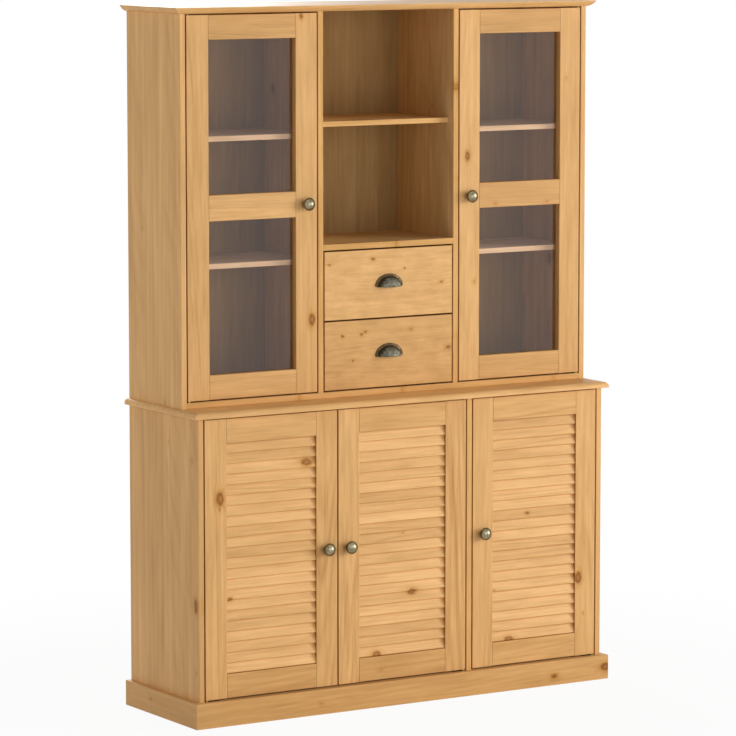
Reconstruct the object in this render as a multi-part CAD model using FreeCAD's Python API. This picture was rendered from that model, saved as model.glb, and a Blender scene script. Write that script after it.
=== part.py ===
import FreeCAD, Part
import math
import os
from collections import namedtuple
from FreeCAD import Vector

# A pine buffet cabinet in two parts. The base has three louvred doors on a plinth. The hutch stands
# set back on it, with a glazed door at each side and, between them, an open bay over two drawers.
# Lengths are millimetres. +Z is up, the doors face -Y, and the origin is on the floor, in the middle
# of the cabinet's width and of its reach from the knobs to the back.

# Boards and the gaps between them
board = 16.0
shelf_board = 14.0
back_board = 4.0
back_rebate = 8.0
edge_round = 1.5
side_gap = 3.5
level_gap = 4.0
cut_over = 1.0
touching = 1e-6

# Base
carcass_depth = 372.0
plinth_height = 67.0
plinth_board = 17.0
plinth_round = 2.5
base_top_overhang = 15.0
base_top_round = 13.0
base_shelf_height = 360.0
base_shelf_setback = 30.0

# Hutch
hutch_setback = 86.0
cornice_overhang = 20.0
cornice_fascia = 3.0
cornice_quirk = 1.2
cornice_foot = 2.0
cornice_bulge = 2.2
low_shelf_height = 343.0
high_shelf_height = 676.0
glazed_shelf_setback = 8.0
centre_shelf_height = 310.0
centre_shelf_setback = 25.0

# Shelves lie loose on round pins
shelf_play = 0.5
shelf_back_play = 1.0
pin_radius = 2.5
pin_bore_depth = 7.0
pin_reach = 8.0
pin_inset = 35.0

# Door frames, joined by mortise and tenon
door_thickness = 22.0
stile_width = 65.0
tenon_length = 28.0
tenon_thickness = 7.0
tenon_setback = 5.0
tenon_shoulder = 10.0

# Louvred doors
louvre_door_width = 402.0
louvre_rail = 64.0
slat_count = 22
slat_pitch = 27.7
slat_width = 37.0
slat_thickness = 6.5
slat_tilt = math.radians(17.0)
slat_recess = 3.0
slat_housing = 8.0
slat_rest_gap = 0.2

# Glazed doors
glass_rail = 64.0
middle_rail = 68.0
pane_opening = 403.0
glass_thickness = 3.0
glass_recess = 15.0
glass_rebate = 8.0
pane_play = 1.0
bead_edge = 1.5

# Pivot hinges, let into the door's ends and the boards above and below
pivot_inset = 5.0
pivot_setback = 5.0
leaf_cover = 1.0
leaf_length = 38.0
leaf_thickness = 2.5
hinge_pin_radius = 2.0
hinge_pin_clearance = 0.05
hinge_pin_play = 0.3
collar_wall = 1.6
collar_play = 0.1

# Magnetic catches
catch_width = 40.0
catch_depth = 14.0
catch_height = 12.0
catch_play = 0.2
strike_thickness = 1.0

# Knobs
knob_reach = 25.0
knob_radius = 17.5
knob_foot_radius = 9.0
knob_foot = 1.5
knob_neck_radius = 6.0
knob_neck = 8.0
knob_rim_back = 13.0
knob_rim_front = 16.5
knob_rim_lip = 1.6
knob_quirk = 1.2
knob_dome = 8.0
spigot_radius = 3.0
spigot_depth = 12.0

# Drawers
drawer_width = 402.0
drawer_height = 183.0
drawer_front_board = 20.0
drawer_side_board = 12.0
drawer_side_height = 150.0
drawer_box_depth = 250.0
drawer_box_lift = 12.0
drawer_side_play = 4.0
drawer_side_housing = 6.0
drawer_bottom_board = 4.0
drawer_bottom_lift = 8.0
drawer_bottom_groove = 5.0
drawer_back_drop = 6.0

# Runners on the hutch dividers, in grooves of the drawer sides
runner_height = 16.0
runner_grip = 7.0
runner_lift = 70.0
runner_top_play = 0.1
runner_side_play = 0.5
runner_front_gap = 2.0

# Cup pulls
pull_half_width = 39.5
pull_rise = 29.0
pull_reach = 22.0
pull_shoulder = 6.0
pull_drop = 2.0
pull_wall = 2.0
pull_flange = 4.0
pull_flange_thickness = 1.8
pull_corner = 7.0
pull_below_centre = 10.0
pull_post_place = 31.0
pull_post_radius = 3.5
pull_post_rise = 6.0
pull_screw_radius = 2.0
pull_screw_depth = 12.0

# Widths worked out from the doors and drawers
left_bay = 2 * louvre_door_width + 3 * side_gap
right_bay = louvre_door_width + 2 * side_gap
half_inside = (left_bay + board + right_bay) / 2
half_outside = half_inside + board
divider_left = left_bay - half_inside
divider_right = divider_left + board
half_bay = drawer_width / 2 + side_gap
cupboard_edge = half_bay + board
glass_door_width = half_inside - cupboard_edge - 2 * side_gap

# Depths, from front to back
front_reach = max(knob_reach, plinth_board, base_top_overhang)
base_front = (front_reach - carcass_depth) / 2
hutch_front = base_front + hutch_setback
back = base_front + carcass_depth
inner_back = back - back_board

# Heights, from the floor up
louvre_door_bottom = plinth_height + level_gap
louvre_door_height = slat_count * slat_pitch + 2 * louvre_rail
base_ceiling = louvre_door_bottom + louvre_door_height + level_gap
base_height = base_ceiling + board
hutch_floor_top = base_height + board
glass_door_bottom = hutch_floor_top + level_gap
glass_door_height = 2 * pane_opening + 2 * glass_rail + middle_rail
hutch_ceiling = glass_door_bottom + glass_door_height + level_gap
cabinet_height = hutch_ceiling + board
drawer_bottoms = [hutch_floor_top + level_gap, hutch_floor_top + 2 * level_gap + drawer_height]
deck_underside = drawer_bottoms[1] + drawer_height + level_gap

# A door's hinge side is -1 at its left edge and 1 at its right
Door = namedtuple("Door", "name left width hinge_side front bottom height")
first_left = side_gap - half_inside
LOUVRE_DOORS = [
    Door("left_louvre_door", first_left, louvre_door_width, -1, base_front, louvre_door_bottom,
         louvre_door_height),
    Door("middle_louvre_door", divider_left - side_gap - louvre_door_width, louvre_door_width, 1,
         base_front, louvre_door_bottom, louvre_door_height),
    Door("right_louvre_door", divider_right + side_gap, louvre_door_width, 1, base_front,
         louvre_door_bottom, louvre_door_height),
]
GLASS_DOORS = [
    Door("left_glass_door", first_left, glass_door_width, -1, hutch_front, glass_door_bottom,
         glass_door_height),
    Door("right_glass_door", cupboard_edge + side_gap, glass_door_width, 1, hutch_front,
         glass_door_bottom, glass_door_height),
]


# Outlines and solids

def box(x0, x1, y0, y1, z0, z1):
    """A block between two corners."""
    return Part.makeBox(x1 - x0, y1 - y0, z1 - z0, Vector(x0, y0, z0))


def outline(plane, steps):
    """A flat face. A step is a corner, or an arc as a point on it and its end."""
    place = {
        "xy": lambda p: Vector(p[0], p[1], 0),
        "xz": lambda p: Vector(p[0], 0, p[1]),
        "yz": lambda p: Vector(0, p[0], p[1]),
    }[plane]
    edges = []
    here = steps[0]
    for step in steps[1:] + steps[:1]:
        if isinstance(step[0], tuple):
            through, there = step
            edges.append(Part.Arc(place(here), place(through), place(there)).toShape())
        else:
            there = step
            if math.dist(here, there) > touching:
                edges.append(Part.makeLine(place(here), place(there)))
        here = there
    return Part.Face(Part.Wire(edges))


def prism(plane, steps, start, end):
    """An outline drawn out square to its plane, from one place to another."""
    normal = {"xy": Vector(0, 0, 1), "xz": Vector(0, 1, 0), "yz": Vector(1, 0, 0)}[plane]
    face = outline(plane, steps)
    face.translate(normal * start)
    return face.extrude(normal * (end - start))


def toward(point, other, distance):
    """The point that lies a distance from one point on the way to another."""
    share = distance / math.dist(point, other)
    return tuple(a + (b - a) * share for a, b in zip(point, other))


def middle(point, other):
    return tuple((a + b) / 2 for a, b in zip(point, other))


def rounded(before, corner, after, radius):
    """The steps that round a square corner of an outline."""
    start = toward(corner, before, radius)
    end = toward(corner, after, radius)
    through = toward(corner, middle(start, end), radius * (math.sqrt(2) - 1))
    return [start, (through, end)]


def soft_board(x0, x1, y0, y1, z0, z1, radius):
    """An upright board whose two front edges are softened."""
    a, b, c, d = (x0, y1), (x0, y0), (x1, y0), (x1, y1)
    return prism("xy", [a] + rounded(a, b, c, radius) + rounded(b, c, d, radius) + [d], z0, z1)


def soft_rail(x0, x1, y0, y1, z0, z1, radius):
    """A level board whose two front edges are softened."""
    a, b, c, d = (y1, z0), (y0, z0), (y0, z1), (y1, z1)
    return prism("yz", [a] + rounded(a, b, c, radius) + rounded(b, c, d, radius) + [d], x0, x1)


def group(solids):
    return Part.makeCompound(solids)


# Hinges and catches

leaf_half_width = pivot_setback - leaf_cover


def hinge_axis(door):
    """Where a door's upright axis stands, behind its front face and in from its hinge edge."""
    edge = door.left if door.hinge_side < 0 else door.left + door.width
    return edge - door.hinge_side * pivot_inset, door.front + pivot_setback


def leaf_plate(door, low, high):
    """The plate of a hinge leaf, round at the pin's end."""
    x, y = hinge_axis(door)
    into = -door.hinge_side
    far = x + into * leaf_length
    near, deep = y - leaf_half_width, y + leaf_half_width
    nose = (x - into * leaf_half_width, y)
    return prism("xy", [(x, near), (far, near), (far, deep), (x, deep), (nose, (x, near))], low, high)


def door_top(door):
    return door.bottom + door.height


def door_leaf_places(door):
    """Lowest and highest level of the two leaves in a door's ends."""
    return [(door.bottom, door.bottom + leaf_thickness), (door_top(door) - leaf_thickness, door_top(door))]


def carcass_leaf_places(door):
    """Lowest and highest level of the two leaves in the boards below and above a door."""
    floor = door.bottom - level_gap
    ceiling = door_top(door) + level_gap
    return [(floor - leaf_thickness, floor), (ceiling, ceiling + leaf_thickness)]


def carcass_leaves(door):
    """The fixed leaves: each carries the pin, and the lower one a collar that the door stands on."""
    x, y = hinge_axis(door)
    (low, floor), (ceiling, high) = carcass_leaf_places(door)
    foot_pin_top = door.bottom + leaf_thickness - hinge_pin_play
    head_pin_low = door_top(door) - leaf_thickness + hinge_pin_play
    foot = leaf_plate(door, low, floor)
    foot = foot.fuse(Part.makeCylinder(hinge_pin_radius, foot_pin_top - low, Vector(x, y, low)))
    collar_radius = hinge_pin_radius + collar_wall
    foot = foot.fuse(Part.makeCylinder(collar_radius, level_gap - collar_play, Vector(x, y, floor)))
    head = leaf_plate(door, ceiling, high)
    head = head.fuse(Part.makeCylinder(hinge_pin_radius, high - head_pin_low, Vector(x, y, head_pin_low)))
    return [foot.removeSplitter(), head.removeSplitter()]


def door_leaves(door):
    """The moving leaves, each bored for its pin."""
    x, y = hinge_axis(door)
    bore = hinge_pin_radius + hinge_pin_clearance
    leaves = []
    for low, high in door_leaf_places(door):
        hole = Part.makeCylinder(bore, high - low, Vector(x, y, low))
        leaves.append(leaf_plate(door, low, high).cut(hole))
    return leaves


def cut_leaf_seats(solid, doors):
    """A board with the seats of the fixed leaves that lie in it."""
    seats = [leaf_plate(door, low, high) for door in doors for low, high in carcass_leaf_places(door)]
    return solid.cut(group(seats))


def free_stile(door):
    """The middle of the stile that carries the knob."""
    edge = door.left + door.width if door.hinge_side < 0 else door.left
    return edge + door.hinge_side * stile_width / 2


def catch(door):
    """A magnetic catch under the board above a door."""
    x = free_stile(door)
    face = door.front + door_thickness + strike_thickness + catch_play
    ceiling = door_top(door) + level_gap
    half = catch_width / 2
    return box(x - half, x + half, face, face + catch_depth, ceiling - catch_height, ceiling)


def strike(door):
    """The steel plate on the door's back that the catch holds."""
    x = free_stile(door)
    rear = door.front + door_thickness
    half = catch_width / 2
    low = door_top(door) + level_gap - catch_height
    return box(x - half, x + half, rear, rear + strike_thickness, low, door_top(door))


# Door frames

def inner_edges(door):
    """The stiles' inner edges, left and right."""
    return door.left + stile_width, door.left + door.width - stile_width


def tenons(door, low, high):
    """A rail's two tenons, as far as they reach into the stiles."""
    left, right = inner_edges(door)
    near = door.front + tenon_setback
    deep = near + tenon_thickness
    foot, head = low + tenon_shoulder, high - tenon_shoulder
    return [
        box(left - tenon_length, left, near, deep, foot, head),
        box(right, right + tenon_length, near, deep, foot, head),
    ]


def knob_place(door):
    return Vector(free_stile(door), door.front, door.bottom + door.height / 2)


def knob_bore(door):
    place = knob_place(door)
    return Part.makeCylinder(spigot_radius, spigot_depth, place, Vector(0, 1, 0))


def stiles(door, rails):
    """Both uprights of a door, with mortises, hinge seats and the knob's bore."""
    left, right = inner_edges(door)
    rear = door.front + door_thickness
    cutters = [knob_bore(door)]
    for low, high in rails:
        cutters += tenons(door, low, high)
    for low, high in door_leaf_places(door):
        cutters.append(leaf_plate(door, low, high))
    spans = [(door.left, left), (right, door.left + door.width)]
    uprights = []
    for x0, x1 in spans:
        upright = soft_board(x0, x1, door.front, rear, door.bottom, door_top(door), edge_round)
        uprights.append(upright.cut(group(cutters)))
    return uprights


def rail(door, low, high):
    """A rail with its tenons."""
    left, right = inner_edges(door)
    rear = door.front + door_thickness
    body = soft_rail(left, right, door.front, rear, low, high, edge_round)
    return body.fuse(tenons(door, low, high)).removeSplitter()


def knob(door):
    """A turned knob: foot, hollowed neck, rim and a domed face sunk a little into the rim, with the
    spigot that holds it."""
    rim_start = (knob_radius - knob_rim_lip, -knob_rim_back)
    rim_crest = (knob_radius - knob_rim_lip, knob_dome - knob_quirk - knob_reach)
    dome_edge = (rim_crest[0] - knob_quirk, knob_dome - knob_reach)
    dome_round = (dome_edge[0] ** 2 + knob_dome ** 2) / (2 * knob_dome)
    half_turn = math.asin(dome_edge[0] / dome_round) / 2
    dome_middle = (dome_round * math.sin(half_turn), dome_round * (1 - math.cos(half_turn)) - knob_reach)
    steps = [
        (0, spigot_depth),
        (spigot_radius, spigot_depth),
        (spigot_radius, 0),
        (knob_foot_radius, 0),
        (knob_foot_radius, -knob_foot),
        ((knob_neck_radius, -knob_neck), rim_start),
        (knob_radius, -knob_rim_back - knob_rim_lip / 2),
        (knob_radius, -knob_rim_front),
        rim_crest,
        dome_edge,
        (dome_middle, (0, -knob_reach)),
    ]
    turned = outline("xy", steps).revolve(Vector(0, 0, 0), Vector(0, 1, 0), 360)
    turned.translate(knob_place(door))
    return turned


# Louvred doors

def slat_line(door, number):
    """A slat's middle line in section: its lower end, the way up it and the way across it."""
    half = slat_thickness / 2
    y = door.front + slat_recess + half
    z = door.bottom + louvre_rail + slat_rest_gap + half + number * slat_pitch
    along = (math.sin(slat_tilt), math.cos(slat_tilt))
    across = (math.cos(slat_tilt), -math.sin(slat_tilt))
    return (y, z), along, across


def slat_point(door, number, up, over):
    """A point of a slat's section, so far up its middle line and so far behind it."""
    (y, z), along, across = slat_line(door, number)
    return y + up * along[0] + over * across[0], z + up * along[1] + over * across[1]


def slat(door, number):
    """A slanting slat with a round lower edge, its ends housed in the stiles."""
    half = slat_thickness / 2
    top = slat_width - half
    left, right = inner_edges(door)
    steps = [
        slat_point(door, number, 0, half),
        slat_point(door, number, top, half),
        slat_point(door, number, top, -half),
        slat_point(door, number, 0, -half),
        (slat_point(door, number, -half, 0), slat_point(door, number, 0, half)),
    ]
    return prism("yz", steps, left - slat_housing, right + slat_housing)


def slat_seat(door, number):
    """The square-cut housing of a slat, right across the door."""
    half = slat_thickness / 2
    top = slat_width - half
    left, right = inner_edges(door)
    steps = [
        slat_point(door, number, -half, half),
        slat_point(door, number, top, half),
        slat_point(door, number, top, -half),
        slat_point(door, number, -half, -half),
    ]
    return prism("yz", steps, left - slat_housing, right + slat_housing)


def louvre_rails(door):
    return [(door.bottom, door.bottom + louvre_rail), (door_top(door) - louvre_rail, door_top(door))]


def louvre_door(door):
    """A louvred door's pieces by name. The top slat's upper edge is let into the top rail."""
    spans = louvre_rails(door)
    seats = [slat_seat(door, number) for number in range(slat_count)]
    uprights = [upright.cut(group(seats)) for upright in stiles(door, spans)]
    levels = [rail(door, low, high) for low, high in spans]
    levels[1] = levels[1].cut(seats[-1])
    return {
        "stiles": group(uprights),
        "rails": group(levels),
        "slats": group([slat(door, number) for number in range(slat_count)]),
        "knob": knob(door),
        "hinge_leaves": group(door_leaves(door) + [strike(door)]),
    }


# Glazed doors

def glass_rails(door):
    """The levels of the bottom, middle and top rail."""
    middle_low = door.bottom + glass_rail + pane_opening
    top_low = middle_low + middle_rail + pane_opening
    return [
        (door.bottom, door.bottom + glass_rail),
        (middle_low, middle_low + middle_rail),
        (top_low, top_low + glass_rail),
    ]


def pane_levels(door):
    rails = glass_rails(door)
    return [(rails[0][1], rails[1][0]), (rails[1][1], rails[2][0])]


def glass_seat(door):
    """The rebates behind the lip of the frame, as a block at each opening."""
    left, right = inner_edges(door)
    lip = door.front + glass_recess
    rear = door.front + door_thickness
    return [
        box(left - glass_rebate, right + glass_rebate, lip, rear, low - glass_rebate, high + glass_rebate)
        for low, high in pane_levels(door)
    ]


def panes(door):
    left, right = inner_edges(door)
    lap = glass_rebate - pane_play
    lip = door.front + glass_recess
    return [
        box(left - lap, right + lap, lip, lip + glass_thickness, low - lap, high + lap)
        for low, high in pane_levels(door)
    ]


def bead_section(wall, inward, near, deep):
    """A glazing bead across its length: square to the glass and bevelled at the back."""
    inner = wall + inward * glass_rebate
    return [(wall, near), (inner, near), (inner, near + bead_edge), (inner - inward * bead_edge, deep),
            (wall, deep)]


def beads(door):
    """Four strips behind each pane: the uprights run through, the level ones lie between them."""
    left, right = inner_edges(door)
    near = door.front + glass_recess + glass_thickness
    deep = door.front + door_thickness
    strips = []
    for low, high in pane_levels(door):
        foot, head = low - glass_rebate, high + glass_rebate
        for wall, inward in ((left - glass_rebate, 1), (right + glass_rebate, -1)):
            strips.append(prism("xy", bead_section(wall, inward, near, deep), foot, head))
        for wall, inward in ((foot, 1), (head, -1)):
            steps = [(y, z) for z, y in bead_section(wall, inward, near, deep)]
            strips.append(prism("yz", steps, left, right))
    return strips


def glass_door(door):
    """A glazed door's pieces by name."""
    spans = glass_rails(door)
    seats = group(glass_seat(door))
    return {
        "stiles": group([upright.cut(seats) for upright in stiles(door, spans)]),
        "rails": group([rail(door, low, high).cut(seats) for low, high in spans]),
        "panes": group(panes(door)),
        "glazing_beads": group(beads(door)),
        "knob": knob(door),
        "hinge_leaves": group(door_leaves(door) + [strike(door)]),
    }


# Shelves

Shelf = namedtuple("Shelf", "x0 x1 front underside")
hutch_shelf_front = hutch_front + door_thickness + glazed_shelf_setback
base_shelf_front = base_front + door_thickness + base_shelf_setback
BASE_SHELVES = [
    Shelf(-half_inside, divider_left, base_shelf_front, plinth_height + base_shelf_height),
    Shelf(divider_right, half_inside, base_shelf_front, plinth_height + base_shelf_height),
]
GLAZED_SHELVES = [
    Shelf(x0, x1, hutch_shelf_front, hutch_floor_top + height)
    for x0, x1 in ((-half_inside, -cupboard_edge), (cupboard_edge, half_inside))
    for height in (low_shelf_height, high_shelf_height)
]
CENTRE_SHELF = Shelf(-half_bay, half_bay, hutch_front + centre_shelf_setback,
                     deck_underside + board + centre_shelf_height)


def shelf(place):
    """A loose shelf with a softened front edge."""
    return soft_rail(place.x0 + shelf_play, place.x1 - shelf_play, place.front,
                     inner_back - shelf_back_play, place.underside, place.underside + shelf_board,
                     edge_round)


def pins(place):
    """Four pins under a shelf, two in the upright at each end."""
    z = place.underside - pin_radius
    length = pin_bore_depth + pin_reach
    found = []
    for y in (place.front + pin_inset, inner_back - pin_inset):
        for x in (place.x0 - pin_bore_depth, place.x1 - pin_reach):
            found.append(Part.makeCylinder(pin_radius, length, Vector(x, y, z), Vector(1, 0, 0)))
    return found


ALL_PINS = [pin for place in BASE_SHELVES + GLAZED_SHELVES + [CENTRE_SHELF] for pin in pins(place)]


# Base carcass

def side(outer, front, foot, head):
    """A side board: soft at its front edges, rebated for the back board, bored for the pins."""
    inward = -1 if outer > 0 else 1
    inner = outer + inward * board
    rebate = inner - inward * back_rebate
    a, b, c = (outer, back), (outer, front), (inner, front)
    d, e, f = (inner, inner_back), (rebate, inner_back), (rebate, back)
    steps = [a] + rounded(a, b, c, edge_round) + rounded(b, c, d, edge_round) + [d, e, f]
    return prism("xy", steps, foot, head).cut(group(ALL_PINS))


def divider(x0, x1, front, foot, head):
    return soft_board(x0, x1, front, inner_back, foot, head, edge_round).cut(group(ALL_PINS))


def back_panel(foot, head):
    reach = half_inside + back_rebate
    return box(-reach, reach, inner_back, back, foot, head)


def plinth_front():
    """The plinth's front board, mitred at both ends."""
    near = base_front - plinth_board
    reach = half_outside + plinth_board
    a, b, c = (base_front, plinth_height), (near, plinth_height), (near, 0)
    profile = [a] + rounded(a, b, c, plinth_round) + [c, (base_front, 0)]
    plan = [(-reach, near), (reach, near), (half_outside, base_front), (-half_outside, base_front)]
    return prism("yz", profile, -reach, reach).common(prism("xy", plan, 0, plinth_height))


def plinth_return(side_sign):
    """A board along the side, mitred into the front one."""
    near = base_front - plinth_board
    wall = side_sign * half_outside
    face = wall + side_sign * plinth_board
    a, b, c = (wall, plinth_height), (face, plinth_height), (face, 0)
    profile = [a] + rounded(a, b, c, plinth_round) + [c, (wall, 0)]
    plan = [(face, near), (wall, base_front), (wall, back), (face, back)]
    return prism("xz", profile, near, back).common(prism("xy", plan, 0, plinth_height))


def base_floor():
    floor = soft_rail(-half_inside, half_inside, base_front, inner_back, plinth_height - board,
                      plinth_height, edge_round)
    return cut_leaf_seats(floor, LOUVRE_DOORS)


def base_top():
    """The base's top: a quarter round runs along its front and both ends."""
    near = base_front - base_top_overhang
    reach = half_outside + base_top_overhang
    a, b, c, d = (back, base_ceiling), (near, base_ceiling), (near, base_height), (back, base_height)
    front = [a] + rounded(a, b, c, edge_round) + rounded(b, c, d, base_top_round) + [d]
    e, f = (-reach, base_ceiling), (reach, base_ceiling)
    g, h = (reach, base_height), (-reach, base_height)
    ends = rounded(h, e, f, edge_round) + rounded(e, f, g, edge_round)
    ends += rounded(f, g, h, base_top_round) + rounded(g, h, e, base_top_round)
    slab = prism("yz", front, -reach, reach).common(prism("xz", ends, near, back))
    return cut_leaf_seats(slab, LOUVRE_DOORS)


# Hutch carcass

def cornice_curve(face, outward):
    """The moulded edge from the underside up: a convex curve, a quirk and the upright fascia."""
    foot = (face + outward * cornice_foot, hutch_ceiling)
    reach = face + outward * cornice_overhang
    fascia_foot = cabinet_height - cornice_fascia
    quirk = (reach - outward * cornice_quirk, fascia_foot)
    centre = middle(foot, quirk)
    slope = (quirk[1] - foot[1], foot[0] - quirk[0])
    span = math.hypot(*slope)
    through = (centre[0] + outward * abs(slope[0]) / span * cornice_bulge,
               centre[1] - abs(slope[1]) / span * cornice_bulge)
    return [foot, (through, quirk), (reach, fascia_foot), (reach, cabinet_height)]


def hutch_top():
    """The hutch's top, moulded along its front and both ends."""
    near = hutch_front - cornice_overhang
    reach = half_outside + cornice_overhang
    front = cornice_curve(hutch_front, -1) + [(back, cabinet_height), (back, hutch_ceiling)]
    right = cornice_curve(half_outside, 1)
    left = cornice_curve(-half_outside, -1)
    # The left end is walked downwards, so its curve is turned about
    left_foot, (left_through, left_quirk), left_step, left_head = left
    ends = right + [left_head, left_step, left_quirk, (left_through, left_foot)]
    slab = prism("yz", front, -reach, reach).common(prism("xz", ends, near, back))
    return cut_leaf_seats(slab, GLASS_DOORS)


def hutch_floor():
    floor = soft_rail(-half_inside, half_inside, hutch_front, inner_back, base_height,
                      hutch_floor_top, edge_round)
    return cut_leaf_seats(floor, GLASS_DOORS)


def drawer_deck():
    return soft_rail(-half_bay, half_bay, hutch_front, inner_back, deck_underside,
                     deck_underside + board, edge_round)


# Drawers

half_box = half_bay - drawer_side_play
box_front = hutch_front + drawer_front_board
box_back = box_front + drawer_box_depth


def runner_level(bottom):
    return bottom + drawer_box_lift + runner_lift


def runners(bottom):
    """Two wooden strips on the dividers that carry a drawer."""
    low = runner_level(bottom)
    tip = half_box - runner_grip
    near = box_front + runner_front_gap
    return [
        box(-half_bay, -tip, near, inner_back, low, low + runner_height),
        box(tip, half_bay, near, inner_back, low, low + runner_height),
    ]


def drawer_bottom(bottom):
    """The thin bottom, in grooves of the sides and the front."""
    half = half_box - drawer_side_board + drawer_bottom_groove
    low = bottom + drawer_box_lift + drawer_bottom_lift
    return box(-half, half, box_front - drawer_bottom_groove, box_back, low, low + drawer_bottom_board)


def pull_screws(bottom):
    """The screws that run from a pull's posts into the drawer front."""
    z = pull_centre(bottom) + pull_post_rise
    return [
        Part.makeCylinder(pull_screw_radius, pull_screw_depth, Vector(x, hutch_front, z), Vector(0, 1, 0))
        for x in (-pull_post_place, pull_post_place)
    ]


def drawer_sides(bottom):
    """Two boards whose front ends are housed in the drawer's front."""
    low = bottom + drawer_box_lift
    inner = half_box - drawer_side_board
    near = box_front - drawer_side_housing
    return [
        box(-half_box, -inner, near, box_back, low, low + drawer_side_height),
        box(inner, half_box, near, box_back, low, low + drawer_side_height),
    ]


def runner_grooves(bottom):
    """The room that the runners take in the drawer's sides, from the front board to the open end."""
    low = runner_level(bottom) - runner_side_play
    high = runner_level(bottom) + runner_height + runner_top_play
    floor = half_box - runner_grip - runner_side_play
    mouth = half_box + cut_over
    return [
        box(-mouth, -floor, box_front, box_back + cut_over, low, high),
        box(floor, mouth, box_front, box_back + cut_over, low, high),
    ]


def drawer_front(bottom):
    """The front board: softened all round its face, and cut for the sides, bottom and screws."""
    half = drawer_width / 2
    front = box(-half, half, hutch_front, box_front, bottom, bottom + drawer_height)
    edges = [e for e in front.Edges if all(abs(v.Y - hutch_front) < touching for v in e.Vertexes)]
    seats = drawer_sides(bottom) + [drawer_bottom(bottom)] + pull_screws(bottom)
    return front.makeFillet(edge_round, edges).cut(group(seats))


def drawer_box(bottom):
    """The sides, grooved for the runners and the bottom, and a back that stands on the bottom."""
    cutters = group(runner_grooves(bottom) + [drawer_bottom(bottom)])
    inner = half_box - drawer_side_board
    low = bottom + drawer_box_lift
    sheet_top = low + drawer_bottom_lift + drawer_bottom_board
    rear = box(-inner, inner, box_back - drawer_side_board, box_back, sheet_top,
               low + drawer_side_height - drawer_back_drop)
    return group([piece.cut(cutters) for piece in drawer_sides(bottom)] + [rear])


def pull_centre(bottom):
    """The level of a cup's widest line."""
    return bottom + drawer_height / 2 - pull_below_centre + pull_drop


def cup(grown):
    """A solid cup, so much larger all round. A three-centred arch in plan is turned about a level
    line behind the drawer's face."""
    half, reach, shoulder = pull_half_width + grown, pull_reach + grown, pull_shoulder + grown
    crown = ((half - shoulder) ** 2 + reach ** 2 - shoulder ** 2) / (2 * (reach - shoulder))
    lean = math.atan2(half - shoulder, crown - reach)
    joint_x = crown * math.sin(lean)
    joint_y = reach - crown + crown * math.cos(lean)
    half_lean = (math.pi / 2 + lean) / 2
    bend_x = half - shoulder + shoulder * math.sin(half_lean)
    bend_y = shoulder * math.cos(half_lean)
    behind = (pull_rise ** 2 - pull_reach ** 2) / (2 * pull_reach)
    steps = [
        (-half, behind),
        (-half, 0),
        ((-bend_x, -bend_y), (-joint_x, -joint_y)),
        ((0, -reach), (joint_x, -joint_y)),
        ((bend_x, -bend_y), (half, 0)),
        (half, behind),
    ]
    return outline("xy", steps).revolve(Vector(0, behind, 0), Vector(1, 0, 0), 360)


def cup_pull(bottom):
    """A cup pull: a hollow cup, open below, with a thin flange round it and two screw posts. The
    flange's lower corners are round."""
    half = pull_half_width + pull_flange
    rise = pull_rise + 2 * pull_flange + cut_over
    in_front = box(-half, half, -pull_reach - cut_over, 0, -pull_drop, rise)
    a, b, c, d = (-half, rise), (-half, -pull_drop), (half, -pull_drop), (half, rise)
    plate = [a] + rounded(a, b, c, pull_corner) + rounded(b, c, d, pull_corner) + [d]
    against_face = prism("xz", plate, -pull_flange_thickness, 0)
    solid_cup = cup(0)
    posts = [
        Part.makeCylinder(pull_post_radius, pull_reach, Vector(x, 0, pull_post_rise), Vector(0, -1, 0))
        for x in (-pull_post_place, pull_post_place)
    ]
    shell = solid_cup.common(in_front).fuse(cup(pull_flange).common(against_face)).cut(cup(-pull_wall))
    pull = shell.fuse([post.common(solid_cup) for post in posts])
    pull.translate(Vector(0, hutch_front, pull_centre(bottom)))
    return pull.fuse(pull_screws(bottom)).removeSplitter()


# Every node by name

def carcass_nodes():
    doors = LOUVRE_DOORS + GLASS_DOORS
    return {
        "plinth_front": plinth_front(),
        "plinth_left": plinth_return(-1),
        "plinth_right": plinth_return(1),
        "base_left_side": side(-half_outside, base_front, 0, base_ceiling),
        "base_right_side": side(half_outside, base_front, 0, base_ceiling),
        "base_divider": divider(divider_left, divider_right, base_front, plinth_height, base_ceiling),
        "base_floor": base_floor(),
        "base_back": back_panel(plinth_height - board, base_ceiling),
        "base_top": base_top(),
        "base_left_shelf": shelf(BASE_SHELVES[0]),
        "base_right_shelf": shelf(BASE_SHELVES[1]),
        "hutch_left_side": side(-half_outside, hutch_front, base_height, hutch_ceiling),
        "hutch_right_side": side(half_outside, hutch_front, base_height, hutch_ceiling),
        "hutch_left_divider": divider(-cupboard_edge, -half_bay, hutch_front, hutch_floor_top,
                                      hutch_ceiling),
        "hutch_right_divider": divider(half_bay, cupboard_edge, hutch_front, hutch_floor_top,
                                       hutch_ceiling),
        "hutch_floor": hutch_floor(),
        "hutch_back": back_panel(base_height, hutch_ceiling),
        "hutch_top": hutch_top(),
        "drawer_deck": drawer_deck(),
        "centre_shelf": shelf(CENTRE_SHELF),
        "glazed_shelves": group([shelf(place) for place in GLAZED_SHELVES]),
        "shelf_pins": group(ALL_PINS),
        "drawer_runners": group([strip for bottom in drawer_bottoms for strip in runners(bottom)]),
        "carcass_hinge_leaves": group([leaf for door in doors for leaf in carcass_leaves(door)]),
        "magnetic_catches": group([catch(door) for door in doors]),
    }


def door_nodes():
    nodes = {}
    for door in LOUVRE_DOORS:
        for name, piece in louvre_door(door).items():
            nodes[door.name + "_" + name] = piece
    for door in GLASS_DOORS:
        for name, piece in glass_door(door).items():
            nodes[door.name + "_" + name] = piece
    return nodes


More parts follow.
